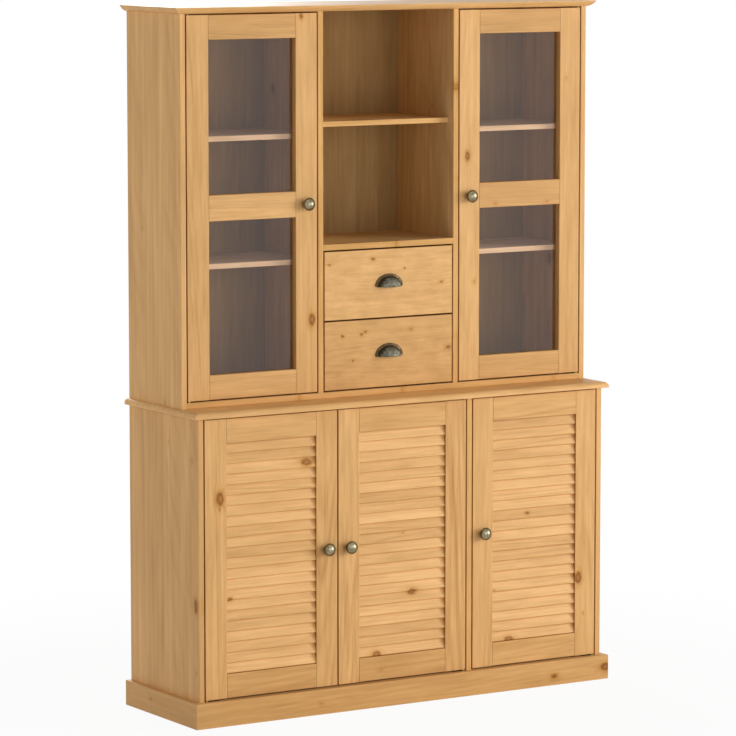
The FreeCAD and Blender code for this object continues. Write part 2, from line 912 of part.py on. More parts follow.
def drawer_nodes():
    nodes = {}
    for name, bottom in zip(("lower_drawer", "upper_drawer"), drawer_bottoms):
        nodes[name + "_front"] = drawer_front(bottom)
        nodes[name + "_box"] = drawer_box(bottom)
        nodes[name + "_bottom"] = drawer_bottom(bottom)
        nodes[name + "_pull"] = cup_pull(bottom)
    return nodes


os.makedirs("parts", exist_ok=True)
for name, piece in {**carcass_nodes(), **door_nodes(), **drawer_nodes()}.items():
    piece.exportStep("parts/" + name + ".step")
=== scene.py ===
# %% [markdown]
# # A lacquered pine buffet cabinet
# The cabinet is a base with three louvred doors and a hutch with two glazed doors, two drawers and open shelves.
# Its boards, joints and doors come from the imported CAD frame, so every size and every moving part is settled there.
# Blender adds what the eye judges: pine with its rings and knots under a satin lacquer, clear glass, pewter knobs
# and bronze cup pulls, and a soft studio round it.

# %% Load the frame
import math
from functools import partial

import bmesh
import bpy
from mathutils import Matrix, Vector


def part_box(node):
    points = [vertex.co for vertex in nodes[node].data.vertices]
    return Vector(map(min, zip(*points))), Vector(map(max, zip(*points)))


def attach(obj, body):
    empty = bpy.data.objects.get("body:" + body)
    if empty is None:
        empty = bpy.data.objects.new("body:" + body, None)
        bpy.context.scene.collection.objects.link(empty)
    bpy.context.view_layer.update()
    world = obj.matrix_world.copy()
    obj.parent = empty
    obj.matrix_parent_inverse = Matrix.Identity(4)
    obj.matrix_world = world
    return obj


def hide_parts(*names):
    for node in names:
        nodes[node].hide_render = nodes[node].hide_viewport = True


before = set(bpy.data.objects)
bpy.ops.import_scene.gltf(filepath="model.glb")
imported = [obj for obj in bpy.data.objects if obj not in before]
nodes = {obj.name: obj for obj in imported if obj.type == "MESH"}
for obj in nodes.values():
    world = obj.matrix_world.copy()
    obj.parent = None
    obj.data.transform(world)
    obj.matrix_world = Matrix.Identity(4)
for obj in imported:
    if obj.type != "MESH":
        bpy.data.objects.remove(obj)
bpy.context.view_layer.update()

# %% [markdown]
# ## Sizes in millimetres
# A joiner thinks in millimetres and Blender in metres. These helpers read a CAD node's box in millimetres, so a
# pattern or a new piece follows the frame instead of repeating its numbers.

# %% Read the frame in millimetres
MM = 0.001


def span(node, axis):
    """The lowest and highest place of a CAD node along x, y or z, in millimetres."""
    low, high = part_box(node)
    number = "xyz".index(axis)
    return low[number] / MM, high[number] / MM


print("base top runs", [round(edge, 2) for edge in span("base_top", "x")], "mm")

# %% [markdown]
# ## Colours
# Colours are easiest to pick as the hex values that a paint program shows. Blender's nodes want linear light, so
# one function turns them.

# %% Turn a hex colour to linear light


def linear(colour):
    """An sRGB hex colour as the linear RGBA that a node socket takes."""
    parts = [int(colour[place:place + 2], 16) / 255 for place in (1, 3, 5)]
    return tuple(c / 12.92 if c <= 0.04045 else ((c + 0.055) / 1.055) ** 2.4 for c in parts) + (1.0,)


print("spring wood in linear light:", [round(c, 3) for c in linear("#E2B070")])

# %% [markdown]
# ## Building materials from nodes
# A procedural material is a small network. The two helpers start an empty one and add a node with its settings and
# links in one line, so the wood below reads as a list of steps.

# %% Helpers for node networks


def empty_material(name):
    """A material whose tree has only the output, and that tree."""
    material = bpy.data.materials.new(name)
    material.use_nodes = True
    tree = material.node_tree
    tree.nodes.clear()
    tree.nodes.new("ShaderNodeOutputMaterial")
    return material, tree


def add(tree, kind, inputs=None, **settings):
    """Adds a node. inputs holds a number, a colour, a node or a socket for each named input."""
    node = tree.nodes.new("ShaderNode" + kind)
    for name, value in settings.items():
        setattr(node, name, value)
    for name, value in (inputs or {}).items():
        if isinstance(value, bpy.types.Node):
            value = value.outputs[0]
        socket = node.inputs[name]
        if isinstance(value, bpy.types.NodeSocket):
            tree.links.new(value, socket)
        elif socket.type == "VECTOR" and isinstance(value, float):
            socket.default_value = (value, value, value)
        else:
            socket.default_value = value
    return node


def ramp(tree, factor, stops):
    """Adds a colour ramp with its stops, each a place from 0 to 1 and a colour."""
    node = add(tree, "ValToRGB", {"Fac": factor})
    points = node.color_ramp.elements
    while len(points) < len(stops):
        points.new(1.0)
    for point, (place, colour) in zip(points, stops):
        point.position = place
        point.color = colour
    return node


print("helpers ready: empty_material, add, ramp")

# %% [markdown]
# ## Pine, board by board
# A cabinet maker glues panels from narrow boards and cuts each rail and stile from its own. In one big block of
# procedural wood the rings would run through every joint and give the trick away. So the material first works out
# which board a point is in, and gives each board its own place in its own tree.

# %% Boards and where they lie


def glued(low, high, count):
    """The edges of boards glued side by side into a panel."""
    width = (high - low) / count
    return [(low + number * width, low + (number + 1) * width) for number in range(count)]


def place_in_millimetres(tree):
    """Adds the nodes that split a point's place into x, y and z in millimetres."""
    point = add(tree, "VectorMath", {0: add(tree, "TexCoord").outputs["Object"], "Scale": 1 / MM}, operation="SCALE")
    axes = add(tree, "SeparateXYZ", {0: point})
    return {axis: axes.outputs[axis.upper()] for axis in "xyz"}


def place_in_board(tree, along, across, boards, shift, shades=()):
    """Adds the nodes that give a point its board's number, its place along the grain, across the board and into its
    thickness from the middle of the board's width, its place on the whole node's face, all in millimetres, and how
    light its board is beside the others."""
    depth = next(axis for axis in "xyz" if axis not in along + across)
    part = place_in_millimetres(tree)
    shades = shades or (1.0,) * len(boards)
    number, middle, shade = shift, sum(boards[0]) / 2, shades[0]
    for board in range(1, len(boards)):
        before, after = boards[board - 1], boards[board]
        passed = add(tree, "Math", {0: part[across], 1: (before[1] + after[0]) / 2}, operation="GREATER_THAN")
        number = add(tree, "Math", {0: passed, 1: number}, operation="ADD")
        step = (sum(after) - sum(before)) / 2
        middle = add(tree, "Math", {0: passed, 1: step, 2: middle}, operation="MULTIPLY_ADD")
        step = shades[board] - shades[board - 1]
        shade = add(tree, "Math", {0: passed, 1: step, 2: shade}, operation="MULTIPLY_ADD")
    over = add(tree, "Math", {0: part[across], 1: middle}, operation="SUBTRACT")
    local = add(tree, "CombineXYZ", {0: part[along], 1: over, 2: part[depth]})
    seen = add(tree, "CombineXYZ", {0: part[along], 1: part[across]})
    return number, local, seen, shade


BOARD_NUMBERS = {
    # cut from it: (number of the first board, numbers kept for each node), so no two boards share a tree
    "carcass": (0.0, 9.0), "stiles": (200.0, 9.0), "rails": (260.0, 9.0), "slats": (400.0, 30.0),
    "fronts": (500.0, 9.0), "beads": (530.0, 9.0), "backs": (600.0, 20.0), "drawer boxes": (660.0, 9.0),
    "drawer bottoms": (690.0, 9.0), "runners": (720.0, 9.0),
}


def first_board(kind, order=0):
    """The number of the first board in a node, where order counts the nodes of its kind."""
    first, kept = BOARD_NUMBERS[kind]
    return first + order * kept


print("a side panel in boards:", [(round(a), round(b)) for a, b in glued(*span("base_left_side", "y"), 4)])

# %% [markdown]
# ## Growth rings
# Pine lays down a pale, soft layer each spring and a thin, darker one each summer. A board shows that stack of
# cones cut open: straight lines where the saw ran toward the heart of the log, long arches where it ran past it.
# Measuring each point's distance from a leaning, slightly wandering heart gives both from one recipe. The rings are
# drawn about 6 mm apart where the real ones are 2 to 4, because finer ones would vanish at the size of the picture.

# %% Distance from the heart of the log
RING = 6.0                 # mm between growth rings
HEART_BELOW = 25.0         # mm from the board's middle to the nearest heart
HEART_RANGE = 60.0         # mm more for the farthest
HEART_ASIDE = 170.0        # mm that the heart may lie to either side, in all
LEAN = 0.05                # mm that the heart drifts for each mm along the board
WANDER = 5.0               # mm that the rings wander
WANDER_SIZE = (480, 60)    # mm along and across the grain over which they do
TILT_DRAW = 51.7           # moves a board's number on, to draw its tilt and tone apart from its heart
HOMES = (31.0, 17.0, 11.0)  # steps through the noises from one board to the next


def grain_noise(tree, local, home, size, detail, roughness=0.5):
    """Adds a noise whose patches are drawn out along the grain. size is their length and width in millimetres."""
    long, wide = size
    place = add(tree, "VectorMath", {0: local, 1: (1 / long, 1 / wide, 1 / wide), 2: home}, operation="MULTIPLY_ADD")
    return add(tree, "TexNoise", {"Vector": place, "Scale": 1.0, "Detail": detail, "Roughness": roughness})


def growth_rings(tree, number, local, bulge):
    """Adds the nodes that give a point's distance from the heart of its board's log in millimetres, chances for the
    board's tone, and its home in the noises."""
    log = add(tree, "TexWhiteNoise", {"W": number}, noise_dimensions="1D").outputs["Color"]
    tilt_seed = add(tree, "Math", {0: number, 1: TILT_DRAW}, operation="ADD")
    tilt = add(tree, "TexWhiteNoise", {"W": tilt_seed}, noise_dimensions="1D").outputs["Color"]
    heart = add(tree, "VectorMath", {0: log, 1: (0, HEART_ASIDE, HEART_RANGE), 2: (0, -HEART_ASIDE / 2, HEART_BELOW)},
                operation="MULTIPLY_ADD")
    drift = add(tree, "VectorMath", {0: tilt, 1: (0, LEAN, 2 * LEAN), 2: (0, -LEAN / 2, -LEAN)},
                operation="MULTIPLY_ADD")
    flat = add(tree, "VectorMath", {0: local, 1: (0, 1, 1)}, operation="MULTIPLY")
    along = add(tree, "SeparateXYZ", {0: local})
    drifted = add(tree, "VectorMath", {0: drift, "Scale": along.outputs["X"]}, operation="SCALE")
    home = add(tree, "VectorMath", {0: number, 1: HOMES}, operation="MULTIPLY")
    wander = grain_noise(tree, local, home, WANDER_SIZE, 2.0).outputs["Color"]
    wandered = add(tree, "VectorMath", {0: wander, 1: (0, WANDER, WANDER), 2: (0, -WANDER / 2, -WANDER / 2)},
                   operation="MULTIPLY_ADD")
    place = add(tree, "VectorMath", {0: flat, 1: heart}, operation="ADD")
    place = add(tree, "VectorMath", {0: place, 1: drifted}, operation="ADD")
    place = add(tree, "VectorMath", {0: place, 1: wandered}, operation="ADD")
    radius = add(tree, "VectorMath", {0: place}, operation="LENGTH").outputs["Value"]
    if bulge is not None:
        radius = add(tree, "Math", {0: radius, 1: bulge}, operation="ADD")
    return radius, tilt, home


print("rings every", RING, "mm round a heart", HEART_BELOW, "to", HEART_BELOW + HEART_RANGE, "mm away")

# %% [markdown]
# ## Knots
# A knot is a branch that the trunk grew round. The grain parts and closes round it like water round a post, and it
# has an olive-brown rim of bark round a paler middle. Each knot is placed where the cabinet in the photograph has
# one, as its place along and across the grain, its radius in millimetres, how far from its middle the saw cut, in
# radii, and how much longer than wide it is. A cut at 0 shows the whole knot, one near 0.9 only the dark bark, and
# one past that a faint stain.

# %% Nearness to the closest knot
KNOT_REACH = 3.2           # radii from a knot's centre to where its grain is straight again
KNOT_PUSH = 1.6            # radii that it pushes the rings outward
KNOT_LUMPS = 0.14          # lumps in its outline for each mm
UNEVEN = (11.0, 7.0, 0.0)  # mm that its outline wanders along and across the grain, in all
NO_KNOT = 9.0              # distance in radii of a point with no knot near it


def near_knots(tree, seen, knots):
    """Adds the nodes that give a point's distance from the closest knot, in that knot's radii, and how far the rings
    are pushed out there in millimetres."""
    rough_at = add(tree, "VectorMath", {0: seen, "Scale": KNOT_LUMPS}, operation="SCALE")
    rough = add(tree, "TexNoise", {"Vector": rough_at, "Scale": 1.0, "Detail": 3.0}).outputs["Color"]
    half_back = tuple(-most / 2 for most in UNEVEN)
    uneven = add(tree, "VectorMath", {0: rough, 1: UNEVEN, 2: half_back}, operation="MULTIPLY_ADD")
    uneven = add(tree, "VectorMath", {0: uneven, 1: seen}, operation="ADD")
    nearest = NO_KNOT
    for along, across, radius, cut, stretch in knots:
        size = (1 / (radius * stretch), 1 / radius, 0)
        centre = (-along * size[0], -across * size[1], 0)
        away = add(tree, "VectorMath", {0: uneven, 1: size, 2: centre}, operation="MULTIPLY_ADD")
        away = add(tree, "VectorMath", {0: away}, operation="LENGTH").outputs["Value"]
        away = add(tree, "Math", {0: away, 1: cut}, operation="ADD")
        nearest = add(tree, "Math", {0: away, 1: nearest}, operation="MINIMUM")
    push = KNOT_PUSH * sum(knot[2] for knot in knots) / len(knots)
    bulge = add(tree, "MapRange", {"Value": nearest, "From Min": 0.0, "From Max": KNOT_REACH, "To Min": push,
                                   "To Max": 0.0}, interpolation_type="SMOOTHSTEP")
    return nearest, bulge


print("a knot bends the grain for", KNOT_REACH, "radii round it")

# %% [markdown]
# ## Summer wood
# Across each ring the pale spring layer darkens slowly into the summer layer, which ends more sharply. A ramp repeats
# that for every ring. Real lines come and go: some years hardly show, and some parts of a board show few. One slow
# noise over the years and one over the board bring that in.

# %% How much of a point is summer wood
RING_LAYERS = ((0.0, 0.2), (0.25, 0.0), (0.55, 0.4), (0.8, 1.0), (1.0, 0.2))  # share of summer wood across a ring
SPELL = 15.0                 # mm of growth over which strong years change to faint ones
YEARS_RANGE = (0.35, 0.75)   # values of that noise in the faintest years and in the strongest
YEARS_SHOW = (0.05, 0.75)    # how much of a line shows in them
FADE_SIZE = (240, 70)        # mm along and across the grain over which the lines fade in and out
FADE_RANGE = (0.35, 0.65)    # values of that noise where they are faint and where they are whole
FADE_TO = 0.35               # how much of them is left where they are faint


def summer_wood(tree, radius, number, local, home, contrast):
    """Adds the nodes that say how strong the summer layer is at a point, from 0 to 1."""
    year = add(tree, "Math", {0: radius, 1: RING}, operation="DIVIDE")
    year = add(tree, "Math", {0: year}, operation="FRACT")
    layer = ramp(tree, year, [(place, (share, share, share, 1)) for place, share in RING_LAYERS])
    years_at = add(tree, "Math", {0: radius, 1: 1 / SPELL, 2: number}, operation="MULTIPLY_ADD")
    years = add(tree, "TexNoise", {"W": years_at, "Scale": 1.0, "Detail": 2.0}, noise_dimensions="1D")
    faint, strong = [share * contrast for share in YEARS_SHOW]
    shown = add(tree, "MapRange", {"Value": years, "From Min": YEARS_RANGE[0], "From Max": YEARS_RANGE[1],
                                   "To Min": faint, "To Max": strong})
    patch = grain_noise(tree, local, home, FADE_SIZE, 1.0)
    here = add(tree, "MapRange", {"Value": patch, "From Min": FADE_RANGE[0], "From Max": FADE_RANGE[1],
                                  "To Min": FADE_TO, "To Max": 1.0})
    shown = add(tree, "Math", {0: shown, 1: here}, operation="MULTIPLY")
    return add(tree, "Math", {0: layer, 1: shown}, operation="MULTIPLY")


print("summer wood changes its strength over", SPELL, "mm of growth")

# %% [markdown]
# ## Tone
# No board has one tone. Built from large to small, there is a tone for each board, then clouds, soft streaks and
# fibres about a millimetre wide. Each layer adds or takes a share, and darker wood is also redder, so the tone acts
# more on green and most on blue.

# %% Clouds, streaks and fibres
CLOUDS, CLOUD_SIZE = 0.30, (150, 34)     # how far each layer can change the tone, as a share of it, and the size of
STREAKS, STREAK_SIZE = 0.44, (230, 11)   # its patches along and across the grain in millimetres
FIBRES, FIBRE_SIZE = 0.14, (30, 1.3)
REDDER = (1.25, 1.8)  # powers of the tone that act on green and blue


def wood_tone(tree, local, home, chances, shade, vary, cloudy, streaky, length):
    """Adds the nodes that give the tone as what is kept of red, green and blue, and the fibres by themselves."""
    board = add(tree, "SeparateXYZ", {0: chances}).outputs["X"]
    cloud = grain_noise(tree, local, home, (CLOUD_SIZE[0] * length, CLOUD_SIZE[1]), 2.0)
    streak = grain_noise(tree, local, home, (STREAK_SIZE[0] * length, STREAK_SIZE[1]), 4.0, roughness=0.65)
    fibre = grain_noise(tree, local, home, FIBRE_SIZE, 2.0)
    layers = ((board, vary), (cloud, CLOUDS * cloudy), (streak, STREAKS * streaky), (fibre, FIBRES))
    tone = 1 - sum(share for layer, share in layers) / 2
    for layer, share in layers:
        tone = add(tree, "Math", {0: layer, 1: share, 2: tone}, operation="MULTIPLY_ADD")
    tone = add(tree, "Math", {0: tone, 1: shade}, operation="MULTIPLY")
    green, blue = [add(tree, "Math", {0: tone, 1: power}, operation="POWER") for power in REDDER]
    return add(tree, "CombineXYZ", {0: tone, 1: green, 2: blue}), fibre


print("fibres are", FIBRE_SIZE[1], "mm wide")

# %% [markdown]
# ## Stains, bare wood and joints
# Three things change the finished colour in places. A knot stains the wood from its paler middle over the olive-brown
# rim to a yellow halo. The boards inside the cabinet and the sawn edges of doors and drawers have no coat: the first
# stayed a duller brown, and the second drank more stain than the faces and also carry painted shade, as dark as the
# gaps between doors and drawers are in shade. And where the shoulders of a rail close on the stiles, a fine dark line
# shows.

# %% Stains, bare wood, painted gap shade and joints
KNOT_STAIN = (
    # place from the knot's centre to the end of its reach, and what is kept of red, green and blue
    (0.0, (0.42, 0.28, 0.12, 1)), (0.09, (0.60, 0.47, 0.28, 1)), (0.17, (0.52, 0.36, 0.17, 1)),
    (0.25, (0.40, 0.24, 0.06, 1)), (0.33, (0.47, 0.30, 0.10, 1)), (0.43, (0.80, 0.69, 0.47, 1)),
    (0.62, (0.95, 0.91, 0.82, 1)), (1.0, (1, 1, 1, 1)),
)
DULL = (0.89, 1.02, 1.28, 1)  # what the wood inside keeps of the outer colour
# Painted shade: a sawn edge keeps less of its colour, for its extra stain and for the shade in the gaps between doors
# and drawers.
SAWN_STAIN_AND_GAP_SHADE = (0.68, 0.48, 0.28, 1)  # what a sawn edge keeps of it
SEAM_HALF = 0.9               # mm from the middle of a joint's line to its edge
SEAM_DEPTH = 0.35             # how much it darkens the wood


def stained_by_knots(tree, colour, nearest):
    """Adds the nodes that stain a colour in and round the knots."""
    place = add(tree, "Math", {0: nearest, 1: KNOT_REACH}, operation="DIVIDE")
    return add(tree, "VectorMath", {0: colour, 1: ramp(tree, place, KNOT_STAIN)}, operation="MULTIPLY")


def bare_share(tree, inside):
    """Adds the nodes that say how far a point lies in bare wood, from 0 to 1. inside holds, as an axis and a middle
    on it, the distances from that middle at which the lacquer ends and the bare wood is reached."""
    within = 1.0
    for axis, middle, ends, reached in inside:
        off = add(tree, "Math", {0: place_in_millimetres(tree)[axis], 1: middle}, operation="SUBTRACT")
        off = add(tree, "Math", {0: off}, operation="ABSOLUTE")
        depth = add(tree, "MapRange", {"Value": off, "From Min": ends, "From Max": reached})
        within = add(tree, "Math", {0: depth, 1: within}, operation="MULTIPLY")
    return within


def darkened_by_seams(tree, colour, seen, seams):
    """Adds the nodes that draw a fine dark line across the grain at each seam's place along it."""
    for place in seams:
        where = add(tree, "SeparateXYZ", {0: seen}).outputs["X"]
        line = add(tree, "Math", {0: where, 1: place, 2: SEAM_HALF}, operation="COMPARE")
        dark = add(tree, "Math", {0: line, 1: -SEAM_DEPTH, 2: 1.0}, operation="MULTIPLY_ADD")
        colour = add(tree, "VectorMath", {0: colour, "Scale": dark}, operation="SCALE")
    return colour


print("a joint's line is", 2 * SEAM_HALF, "mm wide")

# %% [markdown]
# ## Lacquered pine
# The layers come together in one recipe, which every board of the cabinet is made with. The satin lacquer is a thin
# clear coat over wood that still shows its fibres, so the summer wood is a little smoother than the spring wood and
# the pores leave a slight relief.

# %% The finished pine
SPRING = "#E2B070"
SUMMER = "#CA9457"
RELIEF = 0.2            # mm that the pores are deep at most
RELIEF_STRENGTH = 0.35  # share of that relief which the shading takes up
SUMMER_RISE = 0.35      # how far summer wood stands up beside the fibres
WOOD_IOR = 1.5
COAT_ROUGHNESS = 0.3    # the lacquer was rubbed down, so it shines softly


def pine(name, find_board, knots=(), seams=(), spring=SPRING, summer=SUMMER, contrast=1.0, cloudy=1.0,
         streaky=1.0, length=1.0, vary=0.10, gloss=(0.5, 0.4), coat=0.1, shine=0.2, inside=(), inner=DULL):
    """Pine whose boards are found by find_board. seams are places along the grain where a fine dark joint shows.
    length stretches or shortens its clouds and streaks along the grain. gloss is the roughness of the spring and of
    the summer wood, coat the strength of the lacquer, and shine the wood's own reflection. inside tells where the
    wood is bare, and inner is what bare wood keeps of its colour; at the sawn edges of doors and drawers it is also
    painted shade, as dark as the gaps between them."""
    material, tree = empty_material(name)
    number, local, seen, shade = find_board(tree)
    nearest, bulge = near_knots(tree, seen, knots) if knots else (None, None)
    radius, chances, home = growth_rings(tree, number, local, bulge)
    summer_share = summer_wood(tree, radius, number, local, home, contrast)
    colour = add(tree, "Mix", {0: summer_share, 6: linear(spring), 7: linear(summer)}, data_type="RGBA").outputs[2]
    tone, fibre = wood_tone(tree, local, home, chances, shade, vary, cloudy, streaky, length)
    colour = add(tree, "VectorMath", {0: colour, 1: tone}, operation="MULTIPLY")
    if knots:
        colour = stained_by_knots(tree, colour, nearest)
    lacquer = coat
    if inside:
        # inner is duller bare wood inside the cabinet, and at sawn edges more stain with painted shade of the gaps
        within = bare_share(tree, inside)
        kept = add(tree, "Mix", {0: within, 6: (1, 1, 1, 1), 7: inner}, data_type="RGBA").outputs[2]
        colour = add(tree, "VectorMath", {0: colour, 1: kept}, operation="MULTIPLY")
        lacquered = add(tree, "Math", {0: 1.0, 1: within}, operation="SUBTRACT")
        lacquer = add(tree, "Math", {0: lacquered, 1: coat}, operation="MULTIPLY")
    colour = darkened_by_seams(tree, colour, seen, seams)

    sheen = add(tree, "MapRange", {"Value": summer_share, "To Min": gloss[0], "To Max": gloss[1]})
    height = add(tree, "Math", {0: summer_share, 1: SUMMER_RISE, 2: fibre}, operation="MULTIPLY_ADD")
    relief = add(tree, "Bump", {"Strength": RELIEF_STRENGTH, "Distance": RELIEF * MM, "Height": height})
    shader = add(tree, "BsdfPrincipled", {"Base Color": colour, "Roughness": sheen, "Normal": relief,
                                          "IOR": WOOD_IOR, "Specular IOR Level": shine, "Coat Weight": lacquer,
                                          "Coat Roughness": COAT_ROUGHNESS})
    tree.links.new(shader.outputs[0], tree.nodes["Material Output"].inputs["Surface"])
    return material


def finish_node(node, material):
    """Gives a CAD node its finish."""
    nodes[node].material_slots[0].material = material


print("pine ready")

# %% [markdown]
# ## The carcass
# Sides and dividers stand with their grain upright, and tops, shelves and plinth lie with theirs level, as a joiner
# cuts them so that a board's small movement across the grain goes front to back. Panels are glued from boards about
# 95 mm wide. The broad sides catch the eye most, so their clouds are stronger and longer.

# %% Pine for the carcass
PANEL_BOARD = 95.0
CARCASS = {
    # node: (grain along, boards across, shade or one for each board from front to back, knots as (along, across,
    # radius, cut, stretch))
    "plinth_front": ("x", "z", 0.88, [(473, 25, 8, 0.55, 1.6), (644, 34, 9, 0.1, 1.6), (-274, 30, 6, 1.2, 1.5)]),
    "plinth_left": ("y", "z", 0.84, [(60, 40, 7, 1.1, 1.4)]),
    "plinth_right": ("y", "z", 0.88, []),
    "base_left_side": ("z", "y", (0.91, 0.95, 0.97, 0.97),
                       [(320, -158, 8, 0.1, 1.9), (700, -141, 6, 1.1, 1.8), (143, -158, 6, 1.2, 1.5),
                        (736, -16, 6, 1.3, 1.6)]),
    "base_right_side": ("z", "y", 0.93, [(250, 40, 8, 0.2, 1.7), (610, -90, 6, 1.1, 1.6)]),
    "base_divider": ("z", "y", 1.0, [(500, 60, 7, 0.3, 1.6)]),
    "base_floor": ("x", "y", 1.0, [(-200, 60, 8, 0.3, 1.5)]),
    "base_top": ("x", "y", 1.04, [(350, 90, 7, 0.3, 1.5)]),
    "base_left_shelf": ("x", "y", 1.0, [(-100, 20, 7, 0.2, 1.5)]),
    "base_right_shelf": ("x", "y", 1.0, []),
    "hutch_left_side": ("z", "y", 1.03, [(837, 4, 6, 1.1, 1.6), (1290, 120, 6, 1.25, 1.8)]),
    "hutch_right_side": ("z", "y", 1.0, [(1150, 60, 8, 0.2, 1.7), (1600, -20, 6, 1.1, 1.6)]),
    "hutch_left_divider": ("z", "y", 1.0, [(1643, 149, 11, 0.6, 1.6)]),
    # Painted shade: the divider's back board is darker, for the shade in the open bay's back corner.
    "hutch_right_divider": ("z", "y", (1.0, 1.0, 0.9),
                            [(1646, -93, 9, 0.55, 1.4), (1399, -92, 6, 1.2, 1.8), (969, -92, 5, 1.1, 2.2),
                             (1590, 20, 3, 0.9, 1.3)]),
    "hutch_floor": ("x", "y", 1.0, [(-280, -90, 6, 1.1, 1.6), (43, -90, 6, 1.1, 1.6), (535, -90, 5, 1.1, 1.6)]),
    "hutch_top": ("x", "y", 1.0, [(150, 60, 8, 0.3, 1.6)]),
    "drawer_deck": ("x", "y", 0.92, [(22, -86, 5, 1.2, 1.8)]),
    "centre_shelf": ("x", "y", 1.0, []),
    "glazed_shelves": ("x", "y", 1.0, []),
}
# Painted light: the glazed shelves get a paler wood, so that their front edges behind the glass look brightly lit.
PALER_FOR_PAINTED_LIGHT = {"glazed_shelves": ("#F1CDA4", "#DFB58A")}  # boards of a paler tree, as (spring, summer)
SHELTERED = ("base_divider", "base_floor", "base_left_shelf", "base_right_shelf", "hutch_left_divider",
             "hutch_right_divider", "hutch_floor", "drawer_deck", "centre_shelf", "glazed_shelves")
# These are bare but for their front edge, and bare wood reflects nothing bright, so their own reflection is left out.
FRONT_EDGE = (2.0, 4.5)  # mm behind a board's front at which its lacquer ends and the bare wood is reached
INNER_FACE = (3.0, 1.0)  # mm outside a side's inner face, likewise


def inside_of(node):
    """Where a carcass board's duller inside begins: behind its front edge, and on a side's inner face."""
    front, back = span(node, "y")
    deep = back - front
    places = [("y", back, deep - FRONT_EDGE[0], deep - FRONT_EDGE[1])]
    if node in SHELTERED:
        return places
    if node.endswith("side"):
        inner = min(map(abs, span(node, "x")))
        return places + [("x", 0.0, inner + INNER_FACE[0], inner + INNER_FACE[1])]
    return ()


for order, (node, (along, across, shade, knots)) in enumerate(CARCASS.items()):
    low, high = span(node, across)
    boards = glued(low, high, max(1, round((high - low) / PANEL_BOARD)))
    shades = shade if isinstance(shade, tuple) else (shade,) * len(boards)
    find = partial(place_in_board, along=along, across=across, boards=boards, shift=first_board("carcass", order),
                   shades=shades)
    spring, summer = PALER_FOR_PAINTED_LIGHT.get(node, (SPRING, SUMMER))
    look = {"cloudy": 1.5, "length": 2.4} if node.endswith("side") else {}
    if node in SHELTERED:
        look["shine"] = 0.0
    finish_node(node, pine("lacquered_pine_" + node, find, knots, spring=spring, summer=summer,
                           inside=inside_of(node), **look))
print("pine on", len(CARCASS), "carcass nodes")

# %% [markdown]
# ## The door frames
# Each stile and rail is its own stick. The grain of a stile runs up and that of a rail runs across, which is what
# makes a frame door look like one, and a fine dark line shows where a rail's shoulders close on the stiles.

# %% Pine for stiles and rails
STILE = 65.0
DOORS = {
    # door: (rail heights as (from the door's foot, to), shades of the stiles, shades of the rails, strength of the
    # stiles' grain, stile knots, rail knots)
    "left_louvre_door": ([(0, 64), (673.4, 737.4)], (0.98, 0.98), (0.89, 1.0), 1.3,
                         [(600, -571, 9.5, 0.1, 1.7), (573, -572, 7, 0.95, 1.5)], []),
    "middle_louvre_door": ([(0, 64), (673.4, 737.4)], (0.98, 0.90), (0.86, 0.92), 2.2,
                           [], [(-79, 99, 6, 1.3, 1.6)]),
    "right_louvre_door": ([(0, 64), (673.4, 737.4)], (0.99, 0.96), (0.95, 0.95), 1.0,
                          [(289, 562, 8, 0, 1.6), (188, 579, 6, 1.2, 1.6)], []),
    "left_glass_door": ([(0, 64), (467, 535), (938, 1002)], (0.99, 0.93), (0.94, 0.97, 0.89), 1.0,
                        [(1843, -272, 7, 0.5, 1.3), (1042, -240, 8, 0.1, 1.7)], []),
    "right_glass_door": ([(0, 64), (467, 535), (938, 1002)], (0.98, 0.92), (0.86, 0.84, 0.86), 1.0,
                         [(1458, 250, 7, 0.2, 1.7), (1116, 273, 6, 1.0, 1.6), (1659, 570, 6, 1.3, 1.6)],
                         [(341, 1325, 6, 1.1, 1.4), (510, 1324, 6, 1.1, 1.4)]),
}
# At the sawn edges the lacquer ends, and their stain and painted gap shade begin, at these depths
FACE_SKIN = (0.4, 1.6)  # mm behind the face at which its lacquer ends and the bare edge is reached
BACK_SKIN = (1.0, 2.5)  # mm in front of the back, likewise
END_SKIN = (2.0, 1.0)   # mm from a node's two ends, likewise


def stained_and_shaded_edges(node, axis=""):
    """Where a door's or drawer's piece shows its sawn edges, which take more stain and painted shade of the gaps:
    between its face and its back, and only at the node's two ends along an axis where one is given."""
    face, back = span(node, "y")
    places = [("y", 0.0, -face - FACE_SKIN[0], -face - FACE_SKIN[1]),
              ("y", 0.0, -back + BACK_SKIN[0], -back + BACK_SKIN[1])]
    if axis:
        low, high = span(node, axis)
        half = (high - low) / 2
        places.append((axis, (low + high) / 2, half - END_SKIN[0], half - END_SKIN[1]))
    return places


